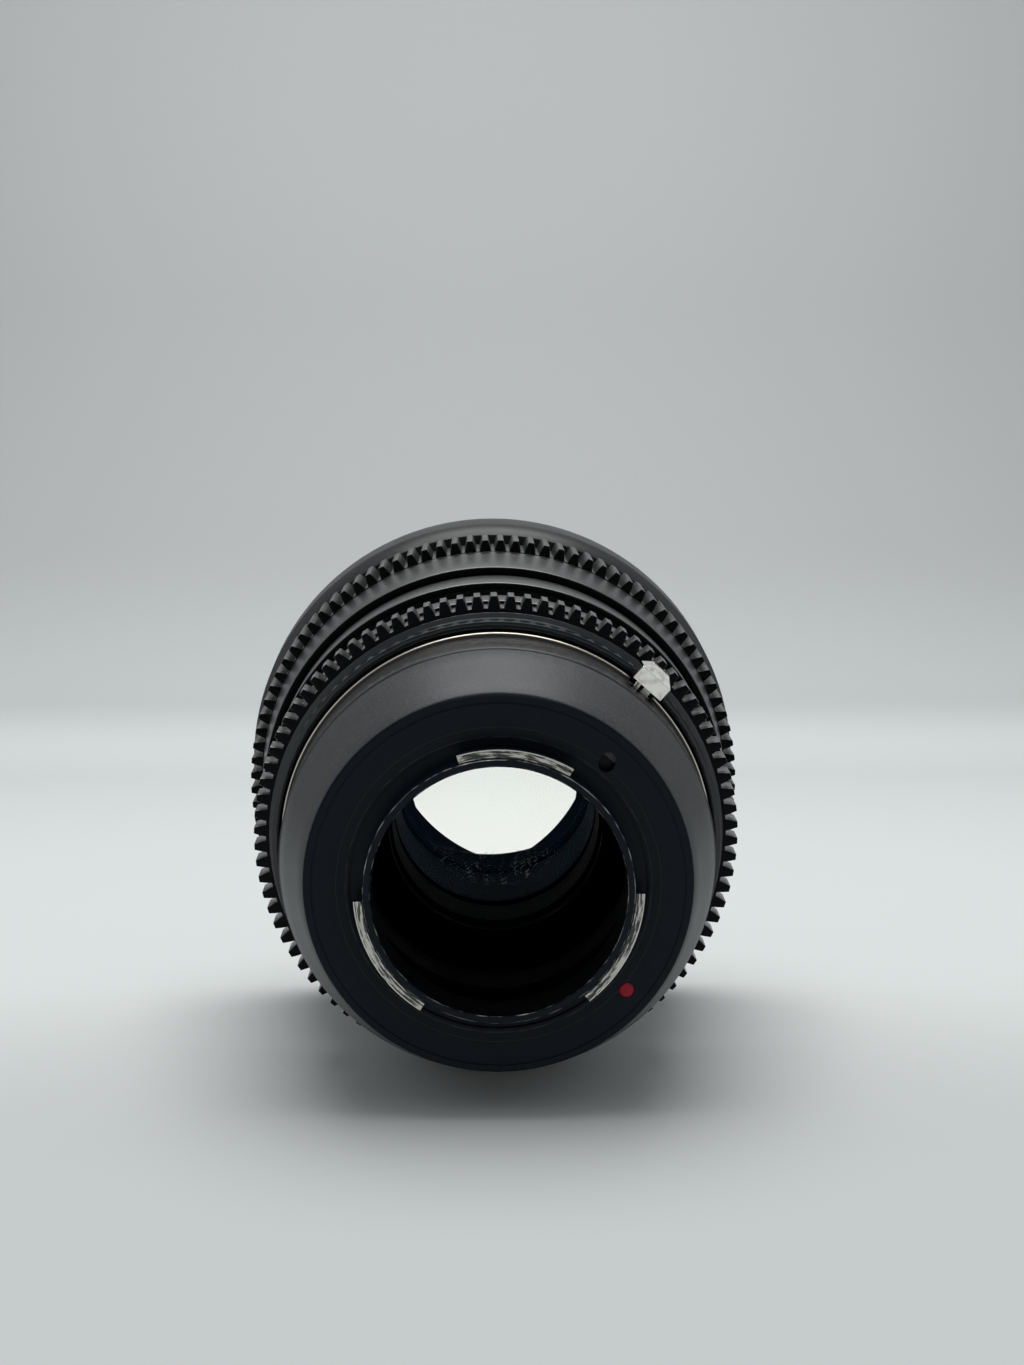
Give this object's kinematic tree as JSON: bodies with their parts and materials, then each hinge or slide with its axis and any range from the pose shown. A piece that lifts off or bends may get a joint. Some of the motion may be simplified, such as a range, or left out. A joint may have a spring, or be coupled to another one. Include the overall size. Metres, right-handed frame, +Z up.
{
  "type": "cinema prime lens",
  "caption": "Cinema prime lens on its side with geared focus and aperture rings, a working iris, a sliding optical unit and a short bayonet body adapter on its rear.",
  "frame": {"origin": "centre of the adapter's camera flange face, on the optical axis", "axes": "+Y along the optical axis towards the front glass, +Z up, +X to the right as seen from the camera side"},
  "size_m": [0.085, 0.0922, 0.085],
  "materials": {
    "anodised_black": "satin",
    "flange_black": "satin",
    "anodised_grey": "satin",
    "gloss_black": "gloss",
    "matte_black": "matte",
    "bright_ring": "brushed",
    "steel": "satin",
    "black_steel": "satin",
    "helicoid_brass": "machined",
    "red_enamel": "gloss",
    "coated_glass": "polished"
  },
  "bodies": {
    "lens_barrel": {"bayonet_plate": "flange_black", "index_dot": "red_enamel", "adapter_cone": "anodised_grey", "adapter_barrel": "gloss_black", "adapter_baffle": "matte_black", "adapter_lens_ring": "bright_ring", "adapter_ring_screws": "steel", "release_spring": "steel", "lens_bayonet": "steel", "lens_bayonet_screws": "steel", "rear_barrel_ring": "gloss_black", "main_barrel": "anodised_black", "guide_keys": "steel", "guide_key_screws": "steel", "aperture_retainer": "anodised_black", "index_ring": "anodised_black"},
    "release": {"release_knob": "steel", "release_slider": "steel"},
    "aperture": {"aperture_ring": "anodised_black", "aperture_link": "steel", "aperture_link_screw": "steel"},
    "focus": {"focus_ring": "anodised_black", "outer_helicoid": "helicoid_brass", "focus_ring_screws": "steel"},
    "optical_unit": {"inner_helicoid": "anodised_black", "front_ring": "anodised_black", "front_ring_screws": "steel", "front_bezel": "matte_black", "iris_housing": "matte_black", "iris_front_plate": "matte_black", "rear_cell": "matte_black", "rear_cell_screws": "steel", "rear_retainer": "matte_black", "rear_glass": "coated_glass", "rear_spacer": "matte_black", "middle_glass": "coated_glass", "front_spacer": "matte_black", "inner_doublet": "coated_glass", "front_cell": "matte_black", "front_glass": "coated_glass", "front_retainer": "matte_black"},
    "iris_drive": {"iris_drive_ring": "steel"},
    "blade_1": {"iris_blade_1": "black_steel"},
    "blade_2": {"iris_blade_2": "black_steel"},
    "blade_3": {"iris_blade_3": "black_steel"},
    "blade_4": {"iris_blade_4": "black_steel"},
    "blade_5": {"iris_blade_5": "black_steel"},
    "blade_6": {"iris_blade_6": "black_steel"},
    "blade_7": {"iris_blade_7": "black_steel"},
    "blade_8": {"iris_blade_8": "black_steel"}
  },
  "joints": [
    {"name": "release_slide", "type": "slide", "parent": "lens_barrel", "child": "release", "axis": [0, -1, 0], "range_m": [0, 0.0018], "stiffness_N_per_m": 400, "springref_m": -0.003},
    {"name": "aperture_turn", "type": "hinge", "parent": "lens_barrel", "child": "aperture", "pos_m": [0, 0.03316, 0], "axis": [0, -1, 0], "range_deg": [-6, 60]},
    {"name": "focus_turn", "type": "hinge", "parent": "lens_barrel", "child": "focus", "pos_m": [0, 0.06986, 0], "axis": [0, -1, 0], "range_deg": [0, 270]},
    {"name": "optical_slide", "type": "slide", "parent": "lens_barrel", "child": "optical_unit", "axis": [0, 1, 0], "range_m": [0, 0.0079]},
    {"name": "iris_drive_turn", "type": "hinge", "parent": "optical_unit", "child": "iris_drive", "pos_m": [0, 0.0705, 0], "axis": [0, -1, 0], "range_deg": [-6.1, 60.1]},
    {"name": "blade_turn_1", "type": "hinge", "parent": "optical_unit", "child": "blade_1", "pos_m": [-0.01777, 0.07137, -0.01111], "axis": [0, -1, 0], "range_deg": [-3.4, 33.1]},
    {"name": "blade_turn_2", "type": "hinge", "parent": "optical_unit", "child": "blade_2", "pos_m": [-0.00471, 0.07169, -0.02042], "axis": [0, -1, 0], "range_deg": [-3.4, 33.1]},
    {"name": "blade_turn_3", "type": "hinge", "parent": "optical_unit", "child": "blade_3", "pos_m": [0.01111, 0.07201, -0.01777], "axis": [0, -1, 0], "range_deg": [-3.4, 33.1]},
    {"name": "blade_turn_4", "type": "hinge", "parent": "optical_unit", "child": "blade_4", "pos_m": [0.02042, 0.07233, -0.00471], "axis": [0, -1, 0], "range_deg": [-3.4, 33.1]},
    {"name": "blade_turn_5", "type": "hinge", "parent": "optical_unit", "child": "blade_5", "pos_m": [0.01777, 0.07265, 0.01111], "axis": [0, -1, 0], "range_deg": [-3.4, 33.1]},
    {"name": "blade_turn_6", "type": "hinge", "parent": "optical_unit", "child": "blade_6", "pos_m": [0.00471, 0.07297, 0.02042], "axis": [0, -1, 0], "range_deg": [-3.4, 33.1]},
    {"name": "blade_turn_7", "type": "hinge", "parent": "optical_unit", "child": "blade_7", "pos_m": [-0.01111, 0.07329, 0.01777], "axis": [0, -1, 0], "range_deg": [-3.4, 33.1]},
    {"name": "blade_turn_8", "type": "hinge", "parent": "optical_unit", "child": "blade_8", "pos_m": [-0.02042, 0.07361, 0.00471], "axis": [0, -1, 0], "range_deg": [-3.4, 33.1]}
  ],
  "couplings": [
    {"joint": "optical_slide", "follows": "focus_turn", "m_per_rad": 0.0016552},
    {"joint": "iris_drive_turn", "follows": "aperture_turn", "ratio": 1},
    {"joint": "blade_turn_1", "follows": "aperture_turn", "ratio": 0.55},
    {"joint": "blade_turn_2", "follows": "aperture_turn", "ratio": 0.55},
    {"joint": "blade_turn_3", "follows": "aperture_turn", "ratio": 0.55},
    {"joint": "blade_turn_4", "follows": "aperture_turn", "ratio": 0.55},
    {"joint": "blade_turn_5", "follows": "aperture_turn", "ratio": 0.55},
    {"joint": "blade_turn_6", "follows": "aperture_turn", "ratio": 0.55},
    {"joint": "blade_turn_7", "follows": "aperture_turn", "ratio": 0.55},
    {"joint": "blade_turn_8", "follows": "aperture_turn", "ratio": 0.55}
  ]
}
